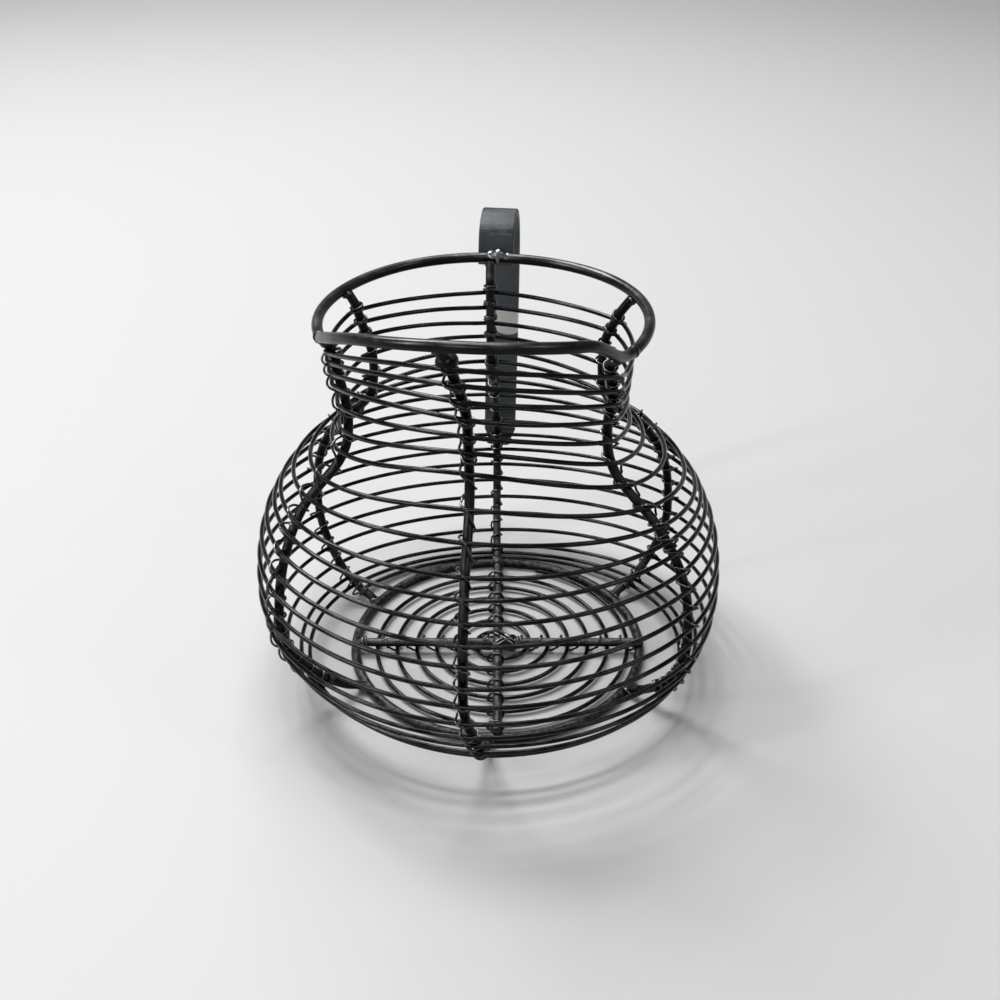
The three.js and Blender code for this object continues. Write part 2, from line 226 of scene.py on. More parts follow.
# %% [markdown]
# A wire from a path
#
# A bent wire is a circle carried along a path. Blender's curve does just that with its bevel
# depth, keeps the section free of twist and closes the ends, so no list of faces is needed.
# The curve is then made a mesh, because the finish and the export want one. Its UV map runs
# round the wire one way and along it the other, and is stretched to millimetres here, so
# that drawn lines in the finish have the same size on every wire.

# %% Make a wire
WANDER_PACES = (1.0, 2.3, 4.1)


def new_piece(name, mesh, material):
    name = name.replace(" ", "_")
    mesh.name = name
    if not mesh.materials:
        mesh.materials.append(material)
    piece = bpy.data.objects.new(name, mesh)
    bpy.context.collection.objects.link(piece)
    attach(piece, "root")
    return piece


def curve_of(name, points, closed):
    """A curve of straight stretches through points in metres, with nothing swept along it yet."""
    curve = bpy.data.curves.new(name, "CURVE")
    curve.dimensions = "3D"
    curve.use_fill_caps = not closed
    spline = curve.splines.new("POLY")
    spline.points.add(len(points) - 1)
    spline.points.foreach_set("co", np.column_stack([points, np.ones(len(points))]).ravel())
    spline.use_cyclic_u = closed
    holder = bpy.data.objects.new(name, curve)
    bpy.context.collection.objects.link(holder)
    return holder


def swept_mesh(holder):
    return bpy.data.meshes.new_from_object(holder.evaluated_get(bpy.context.evaluated_depsgraph_get()))


def wire(name, path, diameter, material, sides=12, closed=False, thickness=None):
    """A round wire along a path in millimetres. Thickness varies it point by point."""
    holder = curve_of(name, path * MM + PLACE, closed)
    curve = holder.data
    curve.bevel_depth = diameter / 2 * MM
    curve.bevel_resolution = sides // 2 - 2
    if thickness is not None:
        curve.splines[0].points.foreach_set("radius", thickness)
    mesh = swept_mesh(holder)
    bpy.data.curves.remove(curve)
    stretch_uv(mesh, diameter, np.linalg.norm(np.diff(path, axis=0), axis=1).sum())
    return new_piece(name, mesh, material)


def stretch_uv(mesh, diameter, length):
    """Turns the map's 0 to 1 into millimetres: round the wire and along it."""
    layer = mesh.uv_layers[0]
    spots = np.empty(len(layer.data) * 2)
    layer.data.foreach_get("uv", spots)
    spots = spots.reshape(-1, 2) * (math.pi * diameter, length)
    layer.data.foreach_set("uv", spots.ravel())


def wander(t, seed, reach):
    """A slow hand-made wobble: a few waves with their own lengths and starts."""
    rng = np.random.default_rng(seed)
    starts = rng.uniform(0.0, 2 * math.pi, len(WANDER_PACES))
    waves = [np.sin(t * pace + start) / pace ** 0.5 for pace, start in zip(WANDER_PACES, starts)]
    return reach * sum(waves)


# %% [markdown]
# The steel's finish
#
# Blackened steel isn't one black. Its oxide lies in cloudy patches of blue-black and grey,
# fine grain breaks up the shine, drawing the wire left faint lines along it, and dust and rub
# marks show as pale specks. One node group gives these as masks, and every steel below mixes
# its own colours with them. One more mask tells which way the surface faces: faces turned up
# get these colours, and every other face gets one flat painted colour, a painted shade that is
# nearly black on the wires and a painted light on the strap. The group reads Object coordinates
# for the patches and the wire's own UV map for the drawn lines, so nothing slides when the view changes.


# %% Small helpers for node trees
def add_node(tree, kind, **settings):
    node = tree.nodes.new(kind)
    for key, value in settings.items():
        setattr(node, key, value)
    return node


def join(tree, source, target):
    tree.links.new(source, target)


def noise(tree, vector, scale, detail, roughness):
    node = add_node(tree, "ShaderNodeTexNoise")
    node.inputs["Scale"].default_value = scale
    node.inputs["Detail"].default_value = detail
    node.inputs["Roughness"].default_value = roughness
    join(tree, vector, node.inputs["Vector"])
    return node.outputs["Fac"]


def ramp(tree, value, low, high, start=0.0, end=1.0):
    """Spreads the values from low to high over start to end."""
    node = add_node(tree, "ShaderNodeMapRange", interpolation_type="SMOOTHSTEP")
    node.inputs["From Min"].default_value = low
    node.inputs["From Max"].default_value = high
    node.inputs["To Min"].default_value = start
    node.inputs["To Max"].default_value = end
    join(tree, value, node.inputs["Value"])
    return node.outputs["Result"]


def colour_mix(tree, mask, first, second):
    """Two colours, or a socket and a colour, mixed by a mask."""
    node = add_node(tree, "ShaderNodeMix", data_type="RGBA")
    join(tree, mask, node.inputs["Factor"])
    for socket, colour in ((node.inputs["A"], first), (node.inputs["B"], second)):
        if isinstance(colour, tuple):
            socket.default_value = (*colour, 1.0)
        else:
            join(tree, colour, socket)
    return node.outputs["Result"]


# %% The group with the marks that all the steel shares
CLOUD_SIZE = 90.0
GRAIN_SIZE = 1400.0
SPECK_SIZE = 2200.0
# How often the drawn lines change across the wire and along it, for each millimetre
LINE_SCALE = (3.2, 0.07, 1.0)
LINES_IN_GRAIN = 0.6


def make_steel_marks():
    group = bpy.data.node_groups.new("Steel marks", "ShaderNodeTree")
    for name in ("Vector", "Along", "Facing"):
        group.interface.new_socket(name, in_out="INPUT", socket_type="NodeSocketVector")
    for name, value in (("Cloud Size", CLOUD_SIZE), ("Grain Size", GRAIN_SIZE)):
        socket = group.interface.new_socket(name, in_out="INPUT", socket_type="NodeSocketFloat")
        socket.default_value = value
    for name in ("Clouds", "Specks", "Rub", "Top", "Grain"):
        group.interface.new_socket(name, in_out="OUTPUT", socket_type="NodeSocketFloat")
    given = add_node(group, "NodeGroupInput")
    put = add_node(group, "NodeGroupOutput")

    clouds = noise(group, given.outputs["Vector"], CLOUD_SIZE, detail=5.0, roughness=0.62)
    join(group, given.outputs["Cloud Size"], clouds.node.inputs["Scale"])
    join(group, ramp(group, clouds, 0.36, 0.66), put.inputs["Clouds"])

    specks = noise(group, given.outputs["Vector"], SPECK_SIZE, detail=2.0, roughness=0.7)
    join(group, ramp(group, specks, 0.66, 0.74), put.inputs["Specks"])

    facing = add_node(group, "ShaderNodeSeparateXYZ")
    join(group, given.outputs["Facing"], facing.inputs["Vector"])
    # Painted shading mask: faces turned up take the marked colours, every other face a flat painted shade,
    # or on the strap a painted light
    join(group, ramp(group, facing.outputs["Z"], -0.1, 0.7), put.inputs["Top"])

    lines = add_node(group, "ShaderNodeMapping")
    lines.inputs["Scale"].default_value = LINE_SCALE
    join(group, given.outputs["Along"], lines.inputs["Vector"])
    drawn = noise(group, lines.outputs["Vector"], 1.0, detail=4.0, roughness=0.6)
    join(group, ramp(group, drawn, 0.52, 0.76), put.inputs["Rub"])

    grain = noise(group, given.outputs["Vector"], GRAIN_SIZE, detail=4.0, roughness=0.65)
    join(group, given.outputs["Grain Size"], grain.node.inputs["Scale"])
    both = add_node(group, "ShaderNodeMath", operation="MULTIPLY_ADD")
    both.inputs[1].default_value = LINES_IN_GRAIN
    join(group, drawn, both.inputs[0])
    join(group, grain, both.inputs[2])
    join(group, both.outputs["Value"], put.inputs["Grain"])
    return group


STEEL_MARKS = make_steel_marks()
print("group outputs:", [item.name for item in STEEL_MARKS.interface.items_tree if item.in_out == "OUTPUT"])


# %% Mix a steel from the marks
# Painted shade: the near-black colour of every face that doesn't face up
PAINTED_SHADE_BELOW = (0.007, 0.0075, 0.0085)
METALLIC = 0.92
BUMP_STRENGTH = 0.7


def steel(name, dark, cloudy, rubbed, roughness, painted_shading_below=PAINTED_SHADE_BELOW, cloud_size=CLOUD_SIZE,
          grain_size=GRAIN_SIZE, grain_depth=0.00004, rub_strength=0.5):
    """A steel finish. Dark, cloudy and rubbed are its colours on faces turned up, the last colour is a
    painted shading on every other face, and roughness gives its low and high.
    """
    material = bpy.data.materials.new(name)
    material.use_nodes = True
    tree = material.node_tree
    shader = tree.nodes["Principled BSDF"]
    where = add_node(tree, "ShaderNodeTexCoord")
    marks = add_node(tree, "ShaderNodeGroup", node_tree=STEEL_MARKS)
    marks.inputs["Cloud Size"].default_value = cloud_size
    marks.inputs["Grain Size"].default_value = grain_size
    join(tree, where.outputs["Object"], marks.inputs["Vector"])
    join(tree, where.outputs["UV"], marks.inputs["Along"])
    join(tree, where.outputs["Normal"], marks.inputs["Facing"])

    clouded = colour_mix(tree, marks.outputs["Clouds"], dark, cloudy)
    lines = add_node(tree, "ShaderNodeMath", operation="MULTIPLY")
    lines.inputs[1].default_value = rub_strength
    join(tree, marks.outputs["Rub"], lines.inputs[0])
    ruled = colour_mix(tree, lines.outputs["Value"], clouded, rubbed)
    speckled = colour_mix(tree, marks.outputs["Specks"], ruled, rubbed)
    # Painted shading: faces that don't face up take one flat painted colour instead of the marks
    painted_shading_mixed = colour_mix(tree, marks.outputs["Top"], painted_shading_below, speckled)
    join(tree, painted_shading_mixed, shader.inputs["Base Color"])
    join(tree, ramp(tree, marks.outputs["Clouds"], 0.0, 1.0, *roughness), shader.inputs["Roughness"])

    bump = add_node(tree, "ShaderNodeBump")
    bump.inputs["Distance"].default_value = grain_depth
    bump.inputs["Strength"].default_value = BUMP_STRENGTH
    join(tree, marks.outputs["Grain"], bump.inputs["Height"])
    join(tree, bump.outputs["Normal"], shader.inputs["Normal"])
    shader.inputs["Metallic"].default_value = METALLIC
    return material


# %% [markdown]
# The steels of this basket
#
# The thin wires are blue-black: nearly black where they mirror the dark and where their sides
# and undersides carry a painted shade, with a sharp line of light along them. The rim is a
# little browner, with larger patches and a softer light. The strap is bluer and dull, with a
# painted light on its faces that don't face up, the lashings are paler than the wires they bind,
# and the welds are grainy and bright. Metallic is high and the colours are very dark, which
# keeps the line of light without greying the rest.

# %% The finishes
# Each finish's last colour, or the near-black one given by default, is painted on every face that doesn't
# face up: a painted shade on wires, rim, ring, rods and welds, and a painted light on the strap
WOUND_STEEL = steel("wound wire", (0.024, 0.025, 0.027), (0.080, 0.082, 0.085), (0.20, 0.20, 0.20),
                    roughness=(0.12, 0.22), rub_strength=0.4)
RIB_STEEL = steel("rib wire", (0.022, 0.023, 0.026), (0.070, 0.073, 0.078), (0.22, 0.22, 0.22),
                  roughness=(0.24, 0.46), cloud_size=140.0, grain_depth=0.00008)
LASH_STEEL = steel("lashing wire", (0.08, 0.08, 0.082), (0.26, 0.26, 0.265), (0.55, 0.55, 0.53),
                   roughness=(0.14, 0.26), painted_shading_below=(0.02, 0.02, 0.021), cloud_size=220.0, rub_strength=0.35)
RIM_STEEL = steel("rim wire", (0.052, 0.048, 0.047), (0.14, 0.131, 0.128), (0.38, 0.365, 0.36),
                  roughness=(0.28, 0.4), painted_shading_below=(0.012, 0.010, 0.010), cloud_size=60.0, rub_strength=0.3,
                  grain_depth=0.00003)
RING_STEEL = steel("base ring steel", (0.014, 0.0145, 0.015), (0.12, 0.123, 0.123), (0.24, 0.24, 0.23),
                   roughness=(0.3, 0.5), cloud_size=480.0, grain_depth=0.0003)
BAR_STEEL = steel("dusty bar steel", (0.05, 0.05, 0.05), (0.19, 0.19, 0.185), (0.38, 0.38, 0.37),
                  roughness=(0.4, 0.6), cloud_size=260.0, grain_depth=0.00012)
# The strap's colour for faces that don't face up is lighter than its top colours: a painted light on its
# front and side faces
STRAP_STEEL = steel("strap steel", (0.052, 0.059, 0.061), (0.135, 0.149, 0.153), (0.24, 0.26, 0.26),
                    roughness=(0.52, 0.66), painted_shading_below=(0.140, 0.160, 0.168), cloud_size=70.0, rub_strength=0.5)
WELD_STEEL = steel("weld", (0.050, 0.050, 0.052), (0.24, 0.25, 0.26), (0.45, 0.45, 0.44),
                   roughness=(0.2, 0.4), painted_shading_below=(0.03, 0.03, 0.03), cloud_size=420.0, grain_size=900.0,
                   grain_depth=0.0003)
BRIGHT_WELD = steel("bright weld", (0.20, 0.20, 0.205), (0.50, 0.51, 0.52), (0.75, 0.75, 0.74),
                    roughness=(0.25, 0.42), painted_shading_below=(0.25, 0.25, 0.25), cloud_size=400.0, grain_size=700.0,
                    grain_depth=0.0002)
print("finishes:", [m.name for m in bpy.data.materials])

# %% [markdown]
# The rim and its lip
#
# The rim is one heavy wire: a circle round the back, and a bar bent forward and up between two
# corners, where the maker welded it. The bar isn't even: it leaves its left corner in a slow
# curve and drops sharply into the right one, so its share of the lip is a smooth path
# through a few spots, each a direction and how much of the lip's push it has.


# %% The rim
LIP_BAR = [(-72.0, 0.0), (-60.0, 0.32), (-40.0, 0.75), (-15.0, 0.98), (10.0, 0.94), (30.0, 0.75),
           (37.0, 0.64), (43.0, 0.42), (48.0, 0.19), (53.0, 0.05), (59.0, 0.0)]
LIP_BAR_STEPS = 400
RIM_STEPS = 288
RIM_WOBBLE = 0.25
lip_bar_line = smooth_path(LIP_BAR, LIP_BAR_STEPS)


def rim_point(angle):
    away = (angle - LIP_MIDDLE + 180.0) % 360.0 - 180.0 + LIP_MIDDLE
    share = np.interp(away, lip_bar_line[:, 0], lip_bar_line[:, 1])
    return with_lip(place(angle, RIM_RADIUS, RIM_HEIGHT), share)


rim_angles = np.linspace(LIP_MIDDLE - 180.0, LIP_MIDDLE + 180.0, RIM_STEPS, endpoint=False)
rim_path = rim_point(rim_angles)
rim_path[:, 2] += wander(np.radians(rim_angles), seed=4, reach=RIM_WOBBLE)
rim = wire("rim wire", rim_path, RIM_WIRE, RIM_STEEL, sides=24, closed=True)
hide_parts("rim")
print("rim:", len(rim.data.polygons), "faces")

# %% [markdown]
# Ribs
#
# Each rib is a stiff rod that stands inside the wound wire. It is welded under the rim, swings
# a little sideways down the neck, follows the belly and bends in under it to the base ring.
# The real ones are hammered to shape, so their thickness wavers slightly.

# %% The ribs' places
RIBS = {
    "front_left": {"angle": -61.5, "foot": 0.0, "swing": -9.5, "from": 62.0, "to": 116.0, "hand": 1},
    "front": {"angle": -5.3, "foot": 2.0, "swing": -8.0, "from": 129.0, "to": 156.0, "hand": 1},
    "front_right": {"angle": 56.5, "foot": 2.0, "swing": -7.0, "from": 133.0, "to": 153.5, "hand": 1},
    "back_right": {"angle": 119.5, "foot": 3.5, "swing": -10.5, "from": 130.0, "to": 153.5, "hand": 1},
    "back": {"angle": 178.0, "foot": 2.3, "swing": 0.0, "from": 129.0, "to": 153.5, "hand": -1},
    "back_left": {"angle": 237.5, "foot": 4.0, "swing": 5.5, "from": 122.0, "to": 153.5, "hand": -1},
}
RIB_DEPTH = WEFT_WIRE / 2 + CLEARANCE + RIB_WIRE / 2
RIB_TOP_BEND = 5.0
RIB_TOP_INSET = 1.4
RIB_TOP_DROP = 1.3
RIB_FOOT_BEND = 1.0
RIB_FOOT_LIFT = 0.8
RIB_FOOT_HEIGHT = 45.0
RIB_PLACES = 60
RIB_STEPS = 150
# How far the thickness runs through its waves along a rib, in radians
RIB_WAVES = 27.0
ROD_UNEVENNESS = 0.012


def rib_angle_at(rib, down):
    """The rib's direction, which swings round between two heights and again near its foot."""
    height = np.interp(down, OUTLINE_DOWN, OUTLINE[:, 1])
    high = rib["swing"] * soft_step((height - rib["from"]) / (rib["to"] - rib["from"]))
    return rib["angle"] + high + rib["foot"] * soft_step(1 - height / RIB_FOOT_HEIGHT)


def rib_point(rib, down, depth=RIB_DEPTH):
    return body_point(rib_angle_at(rib, down), down, depth)


# %% Make the ribs
def rib_path(rib):
    top_angle = rib_angle_at(rib, 0.0)
    top = rim_point(top_angle) + RIB_TOP_INSET * to_middle(top_angle)
    top[2] -= RIB_TOP_DROP
    downs = np.linspace(RIB_TOP_BEND, OUTLINE_LENGTH - RIB_FOOT_BEND, RIB_PLACES)
    foot = place(rib["angle"] + rib["foot"], RING_RADIUS + RING_WIRE / 2 + CLEARANCE,
                 RIB_WIRE / 2 + RIB_FOOT_LIFT)
    return smooth_path(np.vstack([top, rib_point(rib, downs), foot]), RIB_STEPS)


for seed, (side, rib) in enumerate(RIBS.items()):
    path = rib_path(rib)
    waves = np.linspace(0.0, RIB_WAVES, len(path))
    finish = BAR_STEEL if side == "back" else RIB_STEEL
    piece = wire("rib wire " + side, path, RIB_WIRE, finish, sides=16,
                 thickness=1.0 + wander(waves, seed, ROD_UNEVENNESS))
    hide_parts("rib_" + side)
print("ribs:", ", ".join(RIBS))

# %% [markdown]
# The wound wire
#
# One wire goes round the ribs about twenty times, close at the neck, wide on the shoulder and
# close again under the belly. Its turns are tipped up at the front. A turn is pulled straight
# between two ribs and bends over each rib, most of all at the neck, so each stretch is part
# arc and part chord. The path's corners are worked out at the ribs, so the lashings meet it.

# %% How far down each turn lies
TOP_DROP = 6.7
FOOT_DROP = 8.2
TURN_GROUPS = ((6, 5.4), (3, 13.1), (10, 8.0), (2, 3.6))
WEFT_TILT = 10.2
FOOT_TILT_SHARE = 0.75
FADE_TURNS = 2
NECK_TILT_SIDE = 29.0
TILT_BULGE = 0.39
SETTLE_TURNS = 6

# The shoulder's turns hang lower at both sides, and the first ones sit higher on the left
SIDE_SAG = 12.4
SAG_TURN = 6.4
SAG_TURNS = 3.9
LEFT_LIFT = 4.0
LEFT_DIRECTION = -85.0
LIFT_TURN = 1.9
LIFT_TURNS = 5.1

CROSSING_ROUNDS = 4
NECK_TURNS = TURN_GROUPS[0][0]
NECK_AND_SHOULDER = NECK_TURNS + TURN_GROUPS[1][0]
WEFT_TURNS = sum(count for count, spacing in TURN_GROUPS)
wound = sum(count * spacing for count, spacing in TURN_GROUPS)
SPREAD = (OUTLINE_LENGTH - TOP_DROP - FOOT_DROP) / wound


def weft_level(turn):
    level, done = 0.0, 0
    for count, spacing in TURN_GROUPS[:-1]:
        level = level + np.clip(turn - done, 0 if done else None, count) * spacing
        done += count
    level = level + np.maximum(turn - done, 0) * TURN_GROUPS[-1][1]
    return TOP_DROP + SPREAD * level


def weft_down(turn, angle):
    grow = np.minimum((turn + 1) / NECK_AND_SHOULDER, 1.0)
    fade = mix(FOOT_TILT_SHARE, 1.0, np.minimum((WEFT_TURNS - turn) / FADE_TURNS, 1.0))
    settled = soft_step((turn - NECK_TURNS) / SETTLE_TURNS)
    direction = np.radians(angle + NECK_TILT_SIDE * (1 - settled))
    tip = np.cos(direction) + TILT_BULGE * settled * np.sin(direction) ** 2
    sag = SIDE_SAG * np.sin(np.radians(angle)) ** 2 * soft_step(1 - np.abs(turn - SAG_TURN) / SAG_TURNS)
    towards_left = np.maximum(np.cos(np.radians(angle - LEFT_DIRECTION)), 0.0)
    lift = LEFT_LIFT * towards_left * soft_step(1 - np.abs(turn - LIFT_TURN) / LIFT_TURNS)
    return weft_level(turn) - WEFT_TILT * grow * fade * tip + sag - lift


def crossing(rib, turns_before):
    """Where the wound wire crosses a rib: its turn, its direction and its way down.

    A rib's direction changes on its way down, so the place is found in a few rounds.
    """
    start = RIBS["front_left"]["angle"] + RIBS["front_left"]["swing"]
    angle = rib["angle"]
    for _ in range(CROSSING_ROUNDS):
        turn = turns_before + (angle - start) / 360.0
        down = float(weft_down(turn, angle))
        angle = float(rib_angle_at(rib, down))
    return turn, angle, down


print("turns:", WEFT_TURNS, "spread:", round(SPREAD, 3))

# %% Wind it
STEPS_BETWEEN_RIBS = 40
NECK_FLATNESS = 0.42
BELLY_FLATNESS = 0.05
WEFT_PACE = 1.37
WEFT_WOBBLE = 0.16


def weft_stretch(start, end):
    """The wire from one rib to the next, part arc and part chord."""
    share = np.linspace(0.0, 1.0, STEPS_BETWEEN_RIBS, endpoint=False)
    turn = mix(start[0], end[0], share)
    angle = mix(start[1], end[1], share)
    arc = body_point(angle, weft_down(turn, angle))
    chord = mix(arc[0], body_point(end[1], weft_down(end[0], end[1])), share[:, None])
    flat = mix(NECK_FLATNESS, BELLY_FLATNESS, soft_step(turn / NECK_AND_SHOULDER))
    return mix(arc, chord, flat[:, None])


def weft_path():
    crossings = []
    for turns_before in range(WEFT_TURNS):
        for rib in RIBS.values():
            turn, angle, down = crossing(rib, turns_before)
            crossings.append((turn, angle + 360.0 * turns_before, down))
    return np.vstack([weft_stretch(a, b) for a, b in zip(crossings[:-1], crossings[1:])])


weft_line = weft_path()
spots = np.linspace(0.0, WEFT_TURNS * 2 * math.pi, len(weft_line))
weft_line[:, 2] += wander(spots * WEFT_PACE, seed=11, reach=WEFT_WOBBLE)
weft = wire("wound wire", weft_line, WEFT_WIRE, WOUND_STEEL, sides=8)
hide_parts("weft")
print("wound wire:", len(weft.data.polygons), "faces")

# %% [markdown]
# Lashings
#
# A thin wire runs down every rib. At each crossing it leaves the rib's side above the wound
# wire, bulges out over it in a round hook, closes below it on the other side, and goes round
# behind the rib to the next hook. In the neck, where the crossings lie close, it takes one more
# turn round the rib between two of them. Of all the ribs, the front left one has the slackest
# hooks. Written for any rod, the same function also lashes the bars of the base.

# %% A coil that binds a rod to the wires that cross it
LASH_INNER_GAP = 0.05
LASH_STEPS = 32
# A hook reaches above its crossing, and a nub below it, by a share of the gap there or by a most
HOOK_SHARE = 0.33
HOOK_MOST = 4.8
NUB_SHARE = 0.48
NUB_MOST = 5.6
# The coil starts to climb a little above the hook's top, and is down again so far below its
# crossing
CLIMB_SPARE = 0.3
DROP = 3.2
# How far a slack hook stands off its rod, the phase at which it stands off most, and the cosine
# of the phase from which the coil climbs over the wire that it binds
RIB_LASH_FIT = (0.2, math.radians(-35.0), 0.3)
LEFT_LASH_FIT = (0.45, math.radians(-35.0), -0.3)
# How much further the cosine runs until the coil is right over that wire
CLIMB_WIDTH = 0.6
# The gaps between crossings at which the coil takes one more turn, and that turn's pitch
NECK_GAPS = (4.5, 6.6)
TURN_PITCH = 1.1
END_WRAPS = 1.25
END_WRAP_PITCH = 1.15
LASH_PACE = 0.9
LASH_WOBBLE = 0.1


def lash_offset(phase, gap_before, gap_after, hook_share):
    """How far along the rod from its crossing the coil is: phase 0 is in front, over the wire."""
    hook = min(hook_share * gap_before, HOOK_MOST)
    nub = min(NUB_SHARE * gap_after, NUB_MOST)
    from_behind = (gap_before - min(NUB_SHARE * gap_before, NUB_MOST) + hook) / 2
    to_behind = (gap_after + nub - min(hook_share * gap_after, HOOK_MOST)) / 2
    in_front = mix(-hook, nub, (np.sin(phase) + 1) / 2)
    quarter = math.pi / 2
    coming = np.interp(phase, (-math.pi, -quarter), (-from_behind, -hook))
    leaving = np.interp(phase, (quarter, math.pi), (nub, to_behind))
    return np.where(phase < -quarter, coming, np.where(phase > quarter, leaving, in_front))


def lash_coil(crossings, rod, depth, fit, hook_share):
    """Where along the rod the coil is, its phase and its reach from the rod's middle."""
    inner = rod / 2 + LASH_WIRE / 2 + LASH_INNER_GAP
    outer = depth + WEFT_WIRE / 2 + LASH_WIRE / 2 + LASH_INNER_GAP
    gaps = np.diff(crossings)
    phase = np.linspace(-math.pi, math.pi, LASH_STEPS, endpoint=False)
    most, most_at, climb_from = fit
    in_front = soft_step((np.cos(phase) - climb_from) / CLIMB_WIDTH)
    bulge = most * np.maximum(np.cos(phase - most_at), 0.0) ** 2
    spots, reach = [], []
    for spot, gap_before, gap_after in zip(crossings, [gaps[0], *gaps], [*gaps, gaps[-1]]):
        offset = lash_offset(phase, gap_before, gap_after, hook_share)
        climb = min(hook_share * gap_before, HOOK_MOST) + CLIMB_SPARE
        rising = np.sqrt(np.maximum(1 - (offset / climb) ** 2, 0.0))
        climbed = np.where(offset < 0, rising, soft_step(1 - offset / DROP)) * in_front
        spots.append(spot + offset)
        reach.append(mix(inner, outer, climbed) + bulge)
        if NECK_GAPS[0] < gap_after < NECK_GAPS[1]:
            turn = TURN_PITCH * phase / (2 * math.pi)
            spots.append(spots[-1][-1] + turn)
            reach.append(np.full(LASH_STEPS, inner))
    return np.concatenate(spots), np.tile(phase, len(spots)), np.concatenate(reach)


def end_wraps(spot, phase, way):
    """A tight turn round the bare rod, before the first crossing or after the last."""
    turned = np.linspace(0.0, END_WRAPS * 2 * math.pi, int(END_WRAPS * LASH_STEPS))[1:]
    return spot + way * END_WRAP_PITCH * turned / (2 * math.pi), phase + way * turned


def lash_path(rod_at, outward_at, crossings, rod, depth, hand, fit, seed, hook_share=HOOK_SHARE):
    """The coil's path. Rod_at and outward_at give the rod's middle and its front at a spot."""
    spots, phases, reach = lash_coil(crossings, rod, depth, fit, hook_share)
    reach += np.abs(wander(spots * LASH_PACE, seed, LASH_WOBBLE)) * np.sin(phases) ** 2
    first_spots, first_phases = end_wraps(spots[0], phases[0], -1)
    last_spots, last_phases = end_wraps(spots[-1], phases[-1], 1)
    bare = np.full(len(first_spots), reach[0])
    spots = np.concatenate([first_spots[::-1], spots, last_spots])
    phases = np.concatenate([first_phases[::-1], phases, last_phases])
    reach = np.concatenate([bare, reach, bare])
    middle = rod_at(spots)
    outward = outward_at(spots)
    along = unit(rod_at(spots + NEARBY) - rod_at(spots - NEARBY))
    across = unit(np.cross(outward, along))
    front, side = reach * np.cos(phases), hand * reach * np.sin(phases)
    return middle + outward * front[:, None] + across * side[:, None]


# %% Lash the ribs
LASH_TOP = 4.0
FRONT_LASH_TOP = 9.0
LASH_FOOT = 6.0
LEFT_HOOK_SHARE = 0.48


def rib_crossings(rib):
    downs = [crossing(rib, turns_before)[2] for turns_before in range(WEFT_TURNS)]
    top = FRONT_LASH_TOP if rib is RIBS["front"] else LASH_TOP
    return [down for down in downs if top < down < OUTLINE_LENGTH - LASH_FOOT]


for seed, (side, rib) in enumerate(RIBS.items()):
    def outward_at(down, rib=rib):
        return -inward_at(rib_angle_at(rib, down), down)

    def rod_at(down, rib=rib):
        return rib_point(rib, down)

    slack_rib = side == "front_left"
    fit = LEFT_LASH_FIT if slack_rib else RIB_LASH_FIT
    hook_share = LEFT_HOOK_SHARE if slack_rib else HOOK_SHARE
    path = lash_path(rod_at, outward_at, rib_crossings(rib), RIB_WIRE, RIB_DEPTH, rib["hand"],
                     fit, 20 + seed, hook_share)
    piece = wire("lashing wire " + side, path, LASH_WIRE, LASH_STEEL, sides=8)
    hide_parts("lashing_" + side)
    print("lashing", side, "with", len(rib_crossings(rib)), "crossings")

# %% [markdown]
# The base
#
# The basket stands on a ring of thick rod. Inside it a cross of two thinner rods carries a
# flat spiral of the wound wire, lashed to the rods wherever they cross. A spiral is a circle
# whose radius grows as it turns.

# %% The ring
RING_STEPS = 160
RING_WAVES = 9
RING_UNEVENNESS = 0.006


def level_line(across, along, height):
    return np.column_stack([across, along, np.full(len(across), height)])


ring_turn = np.linspace(0.0, 360.0, RING_STEPS, endpoint=False)
ring_path = level_line(RING_RADIUS * np.sin(np.radians(ring_turn)),
                       -RING_RADIUS * np.cos(np.radians(ring_turn)), RING_WIRE / 2)
ring = wire("ring wire", ring_path, RING_WIRE, RING_STEEL, sides=20, closed=True,
            thickness=1.0 + wander(np.radians(ring_turn * RING_WAVES), 3, RING_UNEVENNESS))
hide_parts("base_ring")

# %% The spiral
SPIRAL_START = 5.0
SPIRAL_PITCH = 8.5
SPIRAL_LIFT = 1.0
SPIRAL_HEIGHT = WEFT_WIRE / 2 + SPIRAL_LIFT
SPIRAL_OUTER = RING_RADIUS - RING_WIRE / 2 - CLEARANCE - WEFT_WIRE / 2
SPIRAL_TURNS = (SPIRAL_OUTER - SPIRAL_START) / SPIRAL_PITCH
SPIRAL_STEPS = 460


def spiral_radius(turned):
    """The spiral's radius after so many turns."""
    return mix(SPIRAL_START, SPIRAL_OUTER - FLOOR_GAP, turned / SPIRAL_TURNS)


turned = np.linspace(0.0, SPIRAL_TURNS, SPIRAL_STEPS)
spiral_line = level_line(spiral_radius(turned) * np.cos(2 * math.pi * turned),
                         spiral_radius(turned) * np.sin(2 * math.pi * turned), SPIRAL_HEIGHT)
spiral = wire("spiral wire", spiral_line, WEFT_WIRE, WOUND_STEEL, sides=10)
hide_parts("base_spiral")
print("spiral turns:", round(SPIRAL_TURNS, 2))

# %% The cross of rods
BAR_HEIGHT = SPIRAL_HEIGHT + WEFT_WIRE / 2 + CLEARANCE + BAR_WIRE / 2
BAR_REACH = RING_RADIUS - RING_WIRE / 2 - CLEARANCE
BAR_START = BAR_WIRE / 2 + CLEARANCE
BAR_STEPS = 60
BAR_PACE = 0.3
SIDE_BARS_Y = -4.0

